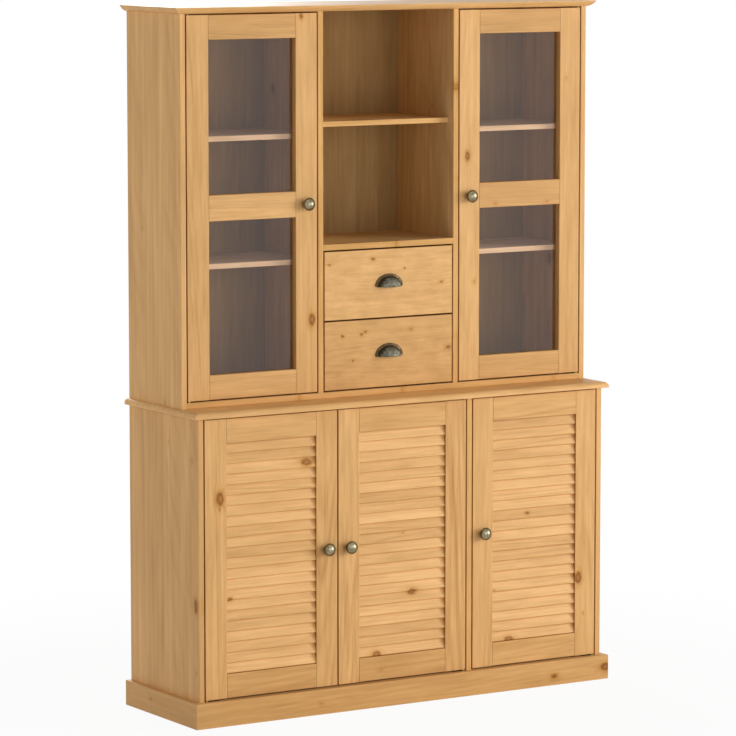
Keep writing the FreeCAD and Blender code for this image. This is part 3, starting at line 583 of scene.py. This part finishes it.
for order, (door, settings) in enumerate(DOORS.items()):
    rail_places, stile_shades, rail_shades, grain, stile_knots, rail_knots = settings
    left, right = span(door + "_stiles", "x")
    foot = span(door + "_stiles", "z")[0]
    sticks = [(left, left + STILE), (right - STILE, right)]
    find = partial(place_in_board, along="z", across="x", boards=sticks, shift=first_board("stiles", order),
                   shades=stile_shades)
    glazed = door.endswith("glass_door")
    # the stiles' sawn edges get more stain and painted shade of the gaps beside them
    gap_shaded_edges = stained_and_shaded_edges(door + "_stiles", "x" if glazed else "")
    finish_node(door + "_stiles", pine(f"lacquered_pine_{door}_stiles", find, stile_knots, contrast=grain,
                                       streaky=(1 + grain) / 2, inside=gap_shaded_edges, inner=SAWN_STAIN_AND_GAP_SHADE))
    rails = [(foot + low, foot + high) for low, high in rail_places]
    find = partial(place_in_board, along="x", across="z", boards=rails, shift=first_board("rails", order),
                   shades=rail_shades)
    shoulders = [left + STILE, right - STILE]
    gap_shaded_edges = stained_and_shaded_edges(door + "_rails", "z" if glazed else "")
    finish_node(door + "_rails", pine(f"lacquered_pine_{door}_rails", find, rail_knots, shoulders, inside=gap_shaded_edges,
                                      inner=SAWN_STAIN_AND_GAP_SHADE))
print("pine on the frames of", len(DOORS), "doors")

# %% [markdown]
# ## The louvres
# Twenty-two thin slats lean in each door. Every slat is cut from its own strip, so its tone and grain differ from
# its neighbours'. The material finds the slat by measuring square to the slats' faces, where they lie 8 mm apart,
# and then turns the point into the slat's own level frame.

# %% Pine for the slats
SLAT_TILT = math.radians(17.0)
SLAT_PITCH = 27.7
FIRST_SLAT = (-167.25, 138.45)  # y and z of the middle of the lowest slat
SLATS = {
    # door: (shade, knots)
    "left_louvre_door": (1.06, [(-306, 676, 8, 0.1, 1.7), (-541, 332, 5, 0.2, 1.3)]),
    "middle_louvre_door": (1.04, [(24, 300, 7, 0.1, 1.7), (-4, 461, 6, 1.2, 1.7), (-90, 140, 7, 0.1, 1.6)]),
    "right_louvre_door": (1.02, [(396, 482, 5, 0.5, 1.3), (335, 139, 7, 0.1, 1.7), (286, 277, 6, 1.2, 1.6)]),
}


def place_in_slat(tree, shift, shade):
    """Adds the nodes that give a point its slat's number and its place along, across and into that slat."""
    part = place_in_millimetres(tree)
    back = add(tree, "Math", {0: part["y"], 1: FIRST_SLAT[0]}, operation="SUBTRACT")
    up = add(tree, "Math", {0: part["z"], 1: FIRST_SLAT[1]}, operation="SUBTRACT")
    level = add(tree, "Math", {0: up, 1: math.sin(SLAT_TILT)}, operation="MULTIPLY")
    square = add(tree, "Math", {0: back, 1: -math.cos(SLAT_TILT), 2: level}, operation="MULTIPLY_ADD")
    step = SLAT_PITCH * math.sin(SLAT_TILT)
    slat = add(tree, "Math", {0: add(tree, "Math", {0: square, 1: step}, operation="DIVIDE")}, operation="ROUND")
    into = add(tree, "Math", {0: slat, 1: -step, 2: square}, operation="MULTIPLY_ADD")
    raised = add(tree, "Math", {0: slat, 1: -SLAT_PITCH, 2: up}, operation="MULTIPLY_ADD")
    leaning = add(tree, "Math", {0: back, 1: math.sin(SLAT_TILT)}, operation="MULTIPLY")
    over = add(tree, "Math", {0: raised, 1: math.cos(SLAT_TILT), 2: leaning}, operation="MULTIPLY_ADD")
    number = add(tree, "Math", {0: slat, 1: shift}, operation="ADD")
    local = add(tree, "CombineXYZ", {0: part["x"], 1: over, 2: into})
    return number, local, add(tree, "CombineXYZ", {0: part["x"], 1: part["z"]}), shade


for order, (door, (shade, knots)) in enumerate(SLATS.items()):
    find = partial(place_in_slat, shift=first_board("slats", order), shade=shade)
    finish_node(door + "_slats", pine(f"lacquered_pine_{door}_slats", find, knots, vary=0.18))
print("pine on the slats of", len(SLATS), "doors,", SLAT_PITCH, "mm apart")

# %% [markdown]
# ## Drawer fronts and glazing beads
# A drawer front is one wide board with its grain level. It was cut near the bark, where the rings lie flat, so soft
# short clouds show on it more than lines. The beads that hold the glass are thin strips on the backs of the doors.

# %% Pine for the drawer fronts and beads
FRONT_LOOK = {"contrast": 0.6, "cloudy": 1.25, "streaky": 0.9, "length": 0.4}
FRONTS = {
    # drawer: (shade, knots)
    "lower_drawer": (0.87, [(-145, 991, 4, 0.45, 1.4), (-86, 993, 4, 0.6, 1.3), (-74, 999, 4, 0.6, 1.3),
                            (70, 997, 6, 1.1, 1.4), (189, 943, 5.5, 0.6, 1.7), (-113, 924, 3, 0.6, 1.2)]),
    "upper_drawer": (1.02, [(-50, 1193, 5, 0.6, 1.6), (50, 1164, 3, 0.5, 1.2), (166, 1122, 6, 0.85, 1.5),
                            (-187, 1184, 5.5, 0.85, 1.5)]),
}
for order, (drawer, (shade, knots)) in enumerate(FRONTS.items()):
    find = partial(place_in_board, along="x", across="z", boards=[span(drawer + "_front", "z")],
                   shift=first_board("fronts", order), shades=(shade,))
    # the front's sawn edges get more stain and painted shade of the gaps round the drawer
    finish_node(drawer + "_front", pine(f"lacquered_pine_{drawer}_front", find, knots,
                                        inside=stained_and_shaded_edges(drawer + "_front"), inner=SAWN_STAIN_AND_GAP_SHADE, **FRONT_LOOK))
for order, door in enumerate(("left_glass_door", "right_glass_door")):
    strips = glued(*span(door + "_glazing_beads", "x"), 2)
    find = partial(place_in_board, along="z", across="x", boards=strips, shift=first_board("beads", order))
    finish_node(door + "_glazing_beads", pine(f"lacquered_pine_{door}_beads", find))
print("pine on", len(FRONTS), "drawer fronts")

# %% [markdown]
# ## Plain boards inside and behind
# The backs are thin boards that were stained rather than lacquered, so they are browner and duller, and they are
# darker still with painted shade, for the dim light inside the bays. Drawer boxes and runners are raw pine, paler and
# without a coat, and the drawer bottoms are thin pale board.

# %% Pine for backs, drawer boxes and runners
# The backs' browner colour is partly their stain and partly painted shade, for the dim light inside the bays.
BACK_LOOK_WITH_PAINTED_SHADE = {"spring": "#AA8857", "summer": "#8E6A40", "contrast": 0.5, "gloss": (0.62, 0.55), "coat": 0.0}
RAW_LOOK = {"spring": "#E8CB9B", "summer": "#D6AE78", "gloss": (0.72, 0.62), "coat": 0.0}
BOTTOM_LOOK = {"spring": "#DDBE92", "summer": "#C9A273", "contrast": 0.7, "gloss": (0.66, 0.6), "coat": 0.0}
BACKS = {
    # node: (shades of its boards from left to right, knots). Behind the open bay they darken to the right, which is
    # painted
    #     light and shade: light falling in from the right, and shade in the bay's right corner.
    "base_back": ((1.0,) * 18, []),
    "hutch_back": ((1.0,) * 9 + (1.12, 1.0, 0.86) + (1.0,) * 6, [(1560, -400, 7, 0.1, 2.4)]),
}
for order, (node, (shades, knots)) in enumerate(BACKS.items()):
    find = partial(place_in_board, along="z", across="x", boards=glued(*span(node, "x"), len(shades)),
                   shift=first_board("backs", order), shades=shades)
    finish_node(node, pine("stained_and_shaded_back_board_" + node, find, knots, **BACK_LOOK_WITH_PAINTED_SHADE))
for order, drawer in enumerate(FRONTS):
    find = partial(place_in_board, along="y", across="z", boards=[span(drawer + "_box", "z")],
                   shift=first_board("drawer boxes", order))
    finish_node(drawer + "_box", pine(f"raw_pine_{drawer}_box", find, **RAW_LOOK))
    find = partial(place_in_board, along="x", across="y", boards=[span(drawer + "_bottom", "y")],
                   shift=first_board("drawer bottoms", order))
    finish_node(drawer + "_bottom", pine(f"thin_board_{drawer}_bottom", find, **BOTTOM_LOOK))
find = partial(place_in_board, along="y", across="z", boards=[span("drawer_runners", "z")],
               shift=first_board("runners"))
finish_node("drawer_runners", pine("raw_pine_drawer_runners", find, **RAW_LOOK))
print("raw and stained boards ready")

# %% [markdown]
# ## Clear glass
# Float glass is smooth and clear and shows the room by its two mirror-like faces. In Cycles light bends through it
# well, but lamps behind it cast almost nothing, so rays from lamps pass straight through a transparent shader. The
# index of refraction is a little below the 1.52 of real glass, which brings its reflections down to the photograph's.

# %% Glass panes
glass, tree = empty_material("clear_float_glass")
clear = add(tree, "BsdfPrincipled", {"Base Color": linear("#FDFAF8"), "Roughness": 0.03, "IOR": 1.44,
                                     "Transmission Weight": 1.0})
through = add(tree, "BsdfTransparent", {"Color": linear("#F4F1EF")})
rays = add(tree, "LightPath")
lamp_rays = add(tree, "Math", {0: rays.outputs["Is Shadow Ray"], 1: rays.outputs["Is Diffuse Ray"]},
                operation="MAXIMUM")
pane = add(tree, "MixShader", {0: lamp_rays, 1: clear, 2: through})
tree.links.new(pane.outputs[0], tree.nodes["Material Output"].inputs["Surface"])
for door in ("left_glass_door", "right_glass_door"):
    finish_node(door + "_panes", glass)
print("panes in two doors")

# %% [markdown]
# ## Antique pewter and bronze
# The knobs and cup pulls are cast zinc, plated, then darkened and rubbed, so metal shines on what a hand reaches and
# a brown-black skin stays in the hollows. Each casting gets a rubbed finish on its crown and a dark one in its
# corners, and in both a cloudy noise of 6 to 9 mm lets some of the other show.

# %% Rubbed metals
CAST_GRAIN = 0.6         # mm that the grains in a casting's skin are wide
CAST_RELIEF = 0.1        # mm that they stand out at most
SKIN_BREAKS = (0.6, 0.9)  # values of the noise where the skin begins to break and where it is gone, at a share of 0


def rubbed_metal(name, bright, dark, cloud_size, share, rough=(0.52, 0.32)):
    """A plated casting whose dark skin is partly rubbed away. share is how much of it shows bright metal."""
    material, tree = empty_material(name)
    place = add(tree, "TexCoord").outputs["Object"]
    cloud = add(tree, "TexNoise", {"Vector": place, "Scale": 1 / (cloud_size * MM), "Detail": 4.0, "Roughness": 0.6})
    grains = add(tree, "TexNoise", {"Vector": place, "Scale": 1 / (CAST_GRAIN * MM), "Detail": 2.0})
    rubbed = add(tree, "MapRange", {"Value": cloud, "From Min": SKIN_BREAKS[0] - share / 2,
                                    "From Max": SKIN_BREAKS[1] - share / 2})
    colour = add(tree, "Mix", {0: rubbed, 6: linear(dark), 7: linear(bright)}, data_type="RGBA").outputs[2]
    roughness = add(tree, "MapRange", {"Value": rubbed, "To Min": rough[0], "To Max": rough[1]})
    relief = add(tree, "Bump", {"Strength": 0.25, "Distance": CAST_RELIEF * MM, "Height": grains})
    shader = add(tree, "BsdfPrincipled", {"Base Color": colour, "Metallic": 1.0, "Roughness": roughness,
                                          "Normal": relief})
    tree.links.new(shader.outputs[0], tree.nodes["Material Output"].inputs["Surface"])
    return material


pewter = rubbed_metal("rubbed_pewter", "#9A9074", "#6E6650", 9.0, 0.6, rough=(0.42, 0.3))
pewter_skin = rubbed_metal("dark_pewter_skin", "#6B5632", "#4A3A20", 6.0, 0.5)
bronze = rubbed_metal("rubbed_bronze", "#6E6B5E", "#474438", 6.0, 0.5, rough=(0.62, 0.5))
bronze_skin = rubbed_metal("dark_bronze_skin", "#45402F", "#302B1E", 6.0, 0.4)
bronze_edge = rubbed_metal("brown_bronze_flange", "#544530", "#3A2C1C", 6.0, 0.5)
print("metals:", pewter.name, pewter_skin.name, bronze.name, bronze_skin.name, bronze_edge.name)

# %% [markdown]
# ## Turned knobs
# A knob is round about one line, so its half outline is drawn once and spun. The outline has only the points that a
# turner would mark: foot, neck, rim, groove and dome. A Subdivision Surface modifier rounds it between them. The dome
# is rubbed bright, and everything behind it keeps the dark skin.

# %% A knob's outline
KNOB_OUTLINE = [
    # distance out from the door's face, and radius, in millimetres
    (-12.0, 0.0), (-12.0, 3.0), (-0.2, 3.0), (0.0, 3.2), (0.0, 8.6), (0.3, 9.0), (1.2, 9.0), (1.7, 8.4), (3.2, 6.8),
    (7.6, 6.0), (10.8, 8.2), (12.4, 12.4), (13.1, 16.0), (13.8, 17.3), (14.6, 17.5), (16.3, 17.5), (17.4, 16.9),
    (18.1, 15.9), (17.5, 15.0), (17.2, 14.4), (19.2, 13.0), (21.4, 10.5), (23.3, 7.5), (24.5, 4.0), (24.9, 1.5),
    (25.0, 0.0),
]
KNOB_TURNS = 24
KNOB_REACH = 25.0  # mm from the door's face to the top of the dome
DOME = 14.5        # radius of the rubbed dome
DOME_OUT = 17.0    # mm from the door's face to where it begins
print("a knob's outline has", len(KNOB_OUTLINE), "points")

# %% Helpers that turn and finish a piece
NEAR = 0.01  # mm within which two points are one


def turned(work, outline, x, face, z, turns):
    """Spins an outline about the line that stands out from a front face at x and z, in millimetres."""
    points = [work.verts.new((x + radius, face - out, z)) for out, radius in outline]
    edges = [work.edges.new(pair) for pair in zip(points, points[1:])]
    bmesh.ops.spin(work, geom=points + edges, cent=(x, face, z), axis=(0, 1, 0), angle=2 * math.pi, steps=turns,
                   use_merge=True)
    bmesh.ops.remove_doubles(work, verts=work.verts, dist=NEAR)


def finished_piece(name, work, materials, levels=2, wall=None):
    """Makes a bmesh that was drawn in millimetres a smooth object with its finishes. A wall thickens an open sheet
    inward, with its rim in the finish before the sheet's own, and a Subdivision Surface modifier rounds it."""
    bmesh.ops.recalc_face_normals(work, faces=work.faces)
    bmesh.ops.scale(work, vec=(MM, MM, MM), verts=work.verts)
    mesh = bpy.data.meshes.new(name)
    work.to_mesh(mesh)
    work.free()
    mesh.shade_smooth()
    for material in materials:
        mesh.materials.append(material)
    piece = bpy.data.objects.new(name, mesh)
    bpy.context.scene.collection.objects.link(piece)
    if wall:
        thick = piece.modifiers.new("wall", "SOLIDIFY")
        thick.thickness, thick.offset = wall * MM, -1.0
        thick.material_offset_rim = -1
    rounding = piece.modifiers.new("rounding", "SUBSURF")
    rounding.levels = rounding.render_levels = levels
    return piece


print("helpers ready: turned, finished_piece")

# %% Knobs
for door in DOORS:
    node = door + "_knob"
    x, z = [sum(span(node, axis)) / 2 for axis in "xz"]
    face = span(node, "y")[0] + KNOB_REACH
    work = bmesh.new()
    turned(work, KNOB_OUTLINE, x, face, z, KNOB_TURNS)
    for side in work.faces:
        away, out, up = side.calc_center_median() - Vector((x, face, z))
        side.material_index = 0 if math.hypot(away, up) < DOME and out < -DOME_OUT else 1
    piece = finished_piece(door + "_turned_knob", work, [pewter, pewter_skin])
    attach(piece, door)
    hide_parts(node)
print("knobs:", len(DOORS), "with", len(piece.data.vertices), "points before rounding")

# %% [markdown]
# ## Cup pulls
# A cup pull is a quarter of an egg, open below, with a thin flange that lies on the drawer. A sphere laid on its side
# gives the egg, so its rows of faces meet the drawer and the open edge cleanly. What lies behind and below is cut
# away, the lower edge is drawn down, and the edge at the drawer is drawn outward as the flange. The sheet then gets
# its wall, as the casting has. Hands rub the flange and the crown, and the dark skin stays where they meet and
# on the flange's thin outer edge.

# %% A cup with its flange as a sheet
PULL_HALF = 36.5      # mm from a cup's middle to its end
PULL_REACH = 22.0     # mm out from the drawer
PULL_RISE = 26.0      # mm from the cup's widest line to its top
PULL_DROP = 2.0       # mm that its open edge lies below the widest line
PULL_FLANGE = 8.2     # mm that the flange stands out round the cup
PULL_WALL = 1.8
PULL_CORNER = 4.0     # mm that the flange's lower corners are drawn in
PULL_FOOT = 10.0      # mm from the flange to where the dark skin ends


def edge_of_sheet(work, axis):
    """The edges along an open sheet's border that lie on the plane where an axis is zero."""
    return [edge for edge in work.edges
            if edge.is_boundary and all(abs(getattr(point.co, axis)) < NEAR for point in edge.verts)]


def drawn(work, edges):
    """Extrudes edges and gives the new points."""
    made = bmesh.ops.extrude_edge_only(work, edges=edges)["geom"]
    return [item for item in made if isinstance(item, bmesh.types.BMVert)]


def cup_sheet():
    """A cup with its flange as an open sheet. Its origin is in the middle of its widest line, on the flange."""
    work = bmesh.new()
    bmesh.ops.create_uvsphere(work, u_segments=16, v_segments=12, radius=1.0)
    bmesh.ops.rotate(work, verts=work.verts, cent=(0, 0, 0), matrix=Matrix.Rotation(math.pi / 2, 3, "Y"))
    bmesh.ops.scale(work, vec=(PULL_HALF, PULL_REACH - PULL_WALL, PULL_RISE), verts=work.verts)
    for outward in ((0, 1, 0), (0, 0, -1)):
        bmesh.ops.bisect_plane(work, geom=work.verts[:] + work.edges[:] + work.faces[:], dist=NEAR,
                               plane_co=(0, 0, 0), plane_no=outward, clear_outer=True)
    for point in drawn(work, edge_of_sheet(work, "z")):
        point.co.z -= PULL_DROP
    for side in work.faces:
        side.material_index = 1 if side.calc_center_median().y > -PULL_FOOT else 0
    flange_points = drawn(work, edge_of_sheet(work, "y"))
    for point in flange_points:
        outward = Vector((point.co.x / PULL_HALF ** 2, 0, max(point.co.z, 0) / PULL_RISE ** 2)).normalized()
        drawn_in = PULL_CORNER if point.co.z < -NEAR else 0.0
        point.co += outward * (PULL_FLANGE - drawn_in)
        for side in point.link_faces:
            side.material_index = 2
    return work


print("a cup with its flange is", 2 * (PULL_HALF + PULL_FLANGE), "mm wide as drawn")

# %% Cups, flanges and posts
POST_PLACES = (-31.0, 31.0)
POST_RISE = 6.0  # mm from the cup's widest line to a post's middle
POST_TURNS = 12
POST_OUTLINE = [
    # distance out from the drawer's face, and radius, in millimetres
    (-12.0, 0.0), (-12.0, 1.3), (-11.0, 2.0), (0.0, 2.0), (0.0, 3.5), (12.0, 3.5), (12.0, 0.0),
]
for drawer in FRONTS:
    node = drawer + "_pull"
    face = span(drawer + "_front", "y")[0]
    widest = span(node, "z")[0] + PULL_DROP
    work = cup_sheet()
    bmesh.ops.translate(work, vec=(0, face - PULL_WALL, widest), verts=work.verts)
    cup = finished_piece(drawer + "_cup", work, [bronze, bronze_skin, bronze_edge], wall=PULL_WALL)
    work = bmesh.new()
    for x in POST_PLACES:
        turned(work, POST_OUTLINE, x, face, widest + POST_RISE, POST_TURNS)
    posts = finished_piece(drawer + "_pull_posts", work, [bronze_skin], levels=1)
    for piece in (cup, posts):
        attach(piece, drawer)
    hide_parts(node)
print("cup pulls:", len(FRONTS), "with", len(cup.data.vertices), "points before the wall")

# %% [markdown]
# ## Small steel and plastic
# Hinge leaves and shelf pins are steel with a yellow zinc plating, which shines dully with a warm tint. The magnetic
# catches are brown moulded plastic with a soft, even sheen. Both are small, so one short recipe does for them.

# %% Steel and plastic
PLAIN_RELIEF = 0.1  # mm that a plain finish stands up or down at most


def plain_finish(name, colour, metallic, rough, grain_size):
    """A plain finish with a fine grain that moves its roughness and leaves a slight relief."""
    material, tree = empty_material(name)
    place = add(tree, "TexCoord").outputs["Object"]
    grain = add(tree, "TexNoise", {"Vector": place, "Scale": 1 / (grain_size * MM), "Detail": 3.0})
    tint = ramp(tree, grain, [(0.3, linear(colour[0])), (0.7, linear(colour[1]))])
    roughness = add(tree, "MapRange", {"Value": grain, "To Min": rough[0], "To Max": rough[1]})
    relief = add(tree, "Bump", {"Strength": 0.15, "Distance": PLAIN_RELIEF * MM, "Height": grain})
    shader = add(tree, "BsdfPrincipled", {"Base Color": tint, "Metallic": metallic, "Roughness": roughness,
                                          "Normal": relief})
    tree.links.new(shader.outputs[0], tree.nodes["Material Output"].inputs["Surface"])
    return material


steel = plain_finish("yellow_zinc_plated_steel", ("#8A7446", "#A38C58"), 1.0, (0.35, 0.5), 1.5)
plastic = plain_finish("moulded_brown_plastic", ("#6B4A2F", "#74523A"), 0.0, (0.42, 0.55), 0.8)
for node in nodes:
    if node.endswith("hinge_leaves") or node == "shelf_pins":
        finish_node(node, steel)
finish_node("magnetic_catches", plastic)
print("steel and plastic ready")

# %% [markdown]
# ## Floor and studio light
# The photograph shows the cabinet alone on white. The floor is nearly white to the camera, to reflections and
# through glass, with a little of its own shading kept near the cabinet so that it still stands on something.

# %% Stage
FLOOR_HALF = 14.0     # metres from the floor's middle to its edge
SHADED_WHITE = 0.93   # share of plain white that the camera sees in the floor under the cabinet
SHADE_FROM = 0.7      # metres from the cabinet's middle to where that share begins to grow
SHADE_REACH = 2.2     # metres from the cabinet's middle to where the floor is plain white

work = bmesh.new()
bmesh.ops.create_grid(work, x_segments=1, y_segments=1, size=FLOOR_HALF)
floor_mesh = bpy.data.meshes.new("studio_floor")
work.to_mesh(floor_mesh)
work.free()
floor = bpy.data.objects.new("studio_floor", floor_mesh)
bpy.context.scene.collection.objects.link(floor)


def seen_directly(tree):
    """Adds the nodes that say whether a ray comes from the camera, a reflection or through glass."""
    rays = add(tree, "LightPath")
    mirrored = add(tree, "Math", {0: rays.outputs["Is Camera Ray"], 1: rays.outputs["Is Glossy Ray"]},
                   operation="MAXIMUM")
    return add(tree, "Math", {0: mirrored, 1: rays.outputs["Is Transmission Ray"]}, operation="MAXIMUM")


paper, tree = empty_material("white_studio_paper")
matt = add(tree, "BsdfDiffuse", {"Color": linear("#F4F3F1")})
white = add(tree, "Emission", {"Color": (1, 1, 1, 1), "Strength": 1.0})
away = add(tree, "VectorMath", {0: add(tree, "TexCoord").outputs["Object"]}, operation="LENGTH").outputs["Value"]
plain = add(tree, "MapRange", {"Value": away, "From Min": SHADE_FROM, "From Max": SHADE_REACH,
                               "To Min": SHADED_WHITE, "To Max": 1.0}, interpolation_type="SMOOTHSTEP")
share = add(tree, "Math", {0: seen_directly(tree), 1: plain}, operation="MULTIPLY")
shown = add(tree, "MixShader", {0: share, 1: matt, 2: white})
tree.links.new(shown.outputs[0], tree.nodes["Material Output"].inputs["Surface"])
floor_mesh.materials.append(paper)
print("floor", 2 * FLOOR_HALF, "m wide")

# %% [markdown]
# ## The room and its lamps
# The room gives a little light from all round, and large softboxes do the rest: a key far to the right of the front,
# where no pane mirrors it into the camera, a weaker fill straight in front, one square to the left side and one
# behind. Large lamps give the soft shadows of a catalogue studio. Their strengths add up so that the cabinet's front
# shows its colours about as they are written.

# %% World and lamps
DAYLIGHT = 0.18  # what the room itself gives every surface, where 1 shows a colour as written

world = bpy.data.worlds.new("white_studio")
bpy.context.scene.world = world
world.use_nodes = True
tree = world.node_tree
tree.nodes.clear()
level = add(tree, "MapRange", {"Value": seen_directly(tree), "To Min": DAYLIGHT, "To Max": 1.0})
room = add(tree, "Background", {"Color": (1, 1, 1, 1), "Strength": level})
surface = tree.nodes.new("ShaderNodeOutputWorld")
tree.links.new(room.outputs[0], surface.inputs["Surface"])

LAMPS = {
    # name: (direction from the cabinet, distance in m, width in m, share of full light on a surface that faces it)
    "key_softbox": ((0.80, -0.54, 0.16), 8.0, 3.5, 0.69),
    "fill_softbox": ((0.0, -1.0, 0.08), 5.0, 3.2, 0.26),
    "left_softbox": ((-1.0, 0.08, 0.25), 5.0, 3.0, 0.24),
    "back_softbox": ((0.25, 1.0, 0.45), 6.0, 3.0, 0.45),
}
AIM = Vector((0.0, 0.0, 0.95))
for name, (direction, distance, width, share) in LAMPS.items():
    lamp = bpy.data.lights.new(name, "AREA")
    lamp.size = width
    lamp.energy = share * (math.pi * distance) ** 2
    light = bpy.data.objects.new(name, lamp)
    bpy.context.scene.collection.objects.link(light)
    toward = Vector(direction).normalized()
    light.location = AIM + toward * distance
    light.rotation_euler = toward.to_track_quat("Z", "Y").to_euler()
    print(name, "gives", share, "with", round(lamp.energy), "W")

# %% [markdown]
# ## Camera
# The camera stands well back to the left, where the photograph was taken, with a long lens. Its place was fitted to
# the corners of the cabinet in the photograph, to about two pixels.

# %% Camera
camera = bpy.data.objects.new("camera", bpy.data.cameras.new("camera"))
bpy.context.scene.collection.objects.link(camera)
camera.location = (-5.649, -9.1122, 2.1891)
camera.rotation_euler = (math.radians(90 - 6.917), 0.0, math.radians(-31.743))
camera.data.sensor_width = 36.0
camera.data.lens = 195.61
camera.data.clip_end = 100.0
bpy.context.scene.camera = camera
bpy.context.scene.view_settings.view_transform = "Standard"
print("camera with a", camera.data.lens, "mm lens")
